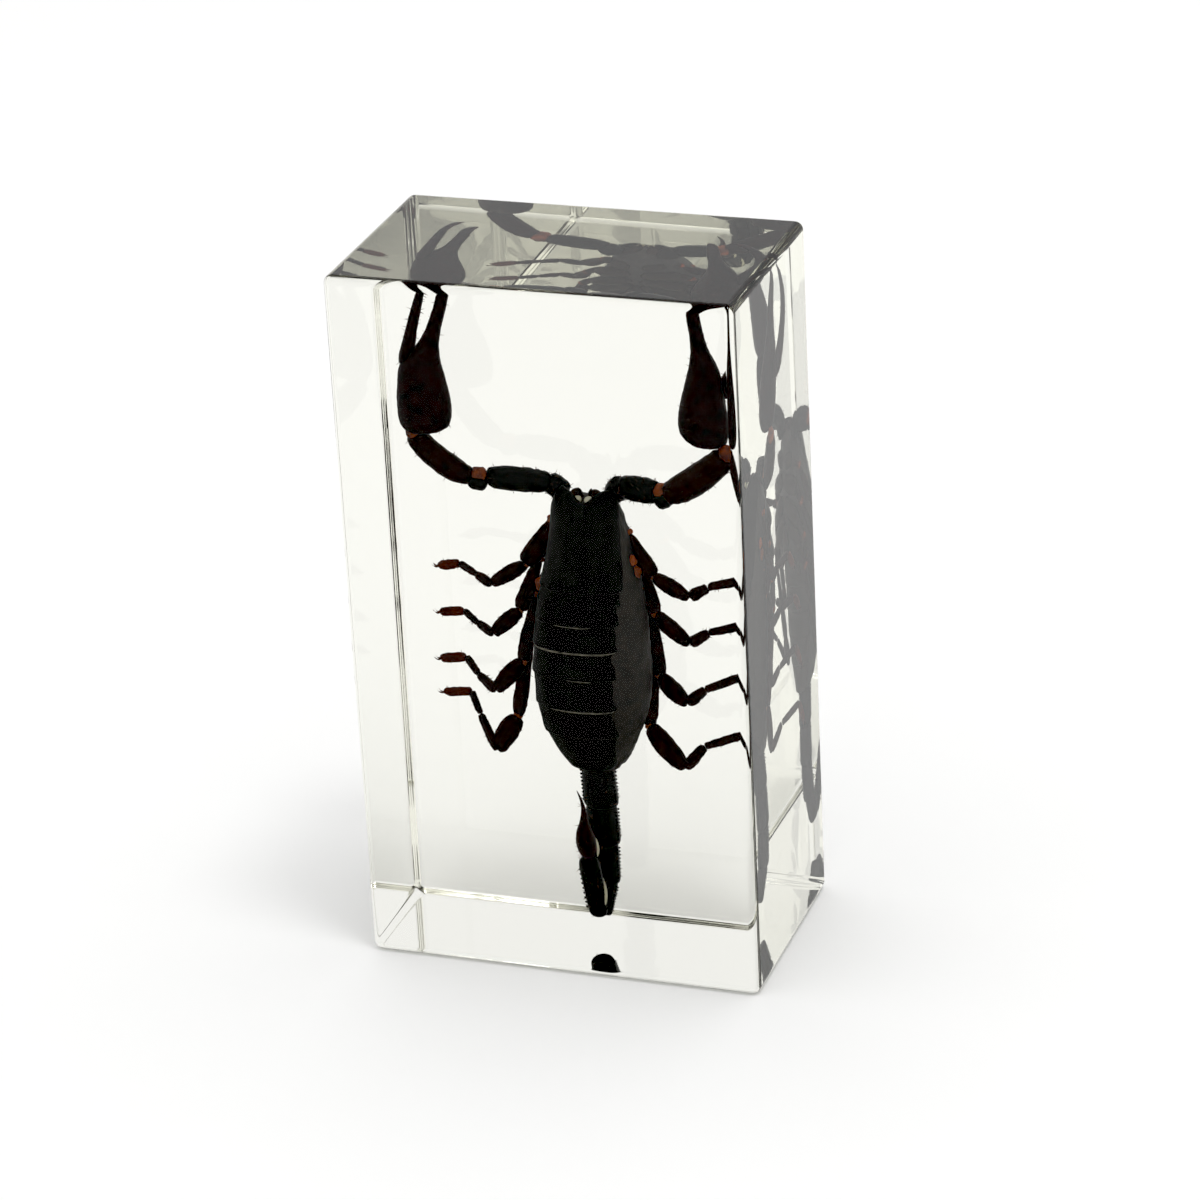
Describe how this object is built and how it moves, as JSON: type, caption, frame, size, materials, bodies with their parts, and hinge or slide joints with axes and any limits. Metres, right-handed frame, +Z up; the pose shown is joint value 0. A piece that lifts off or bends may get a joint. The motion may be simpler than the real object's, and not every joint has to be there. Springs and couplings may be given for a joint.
{
  "type": "scorpion in resin block",
  "caption": "Clear resin block that stands on its short end, with a dark scorpion sealed upright inside it, claws up and tail down.",
  "frame": {"origin": "centre of the bottom end that the block stands on", "axes": "+Z up along the block's long side; +X across the wide show face; +Y through its thickness, with the scorpion's back facing -Y"},
  "size_m": [0.041, 0.024, 0.073],
  "materials": {
    "clear_resin": "clear cast resin, polished, rounded edges",
    "black_cuticle": "black horny skin with a soft shine and a fine grain",
    "red_cuticle": "thin dark red-brown horny skin that light glows through",
    "joint_membrane": "orange-brown skin between the limb pieces",
    "flank_skin": "grey-brown pleated skin of the flanks",
    "bristle": "stiff brown bristles"
  },
  "bodies": {
    "root": {"resin_block": "clear_resin"}
  },
  "joints": []
}
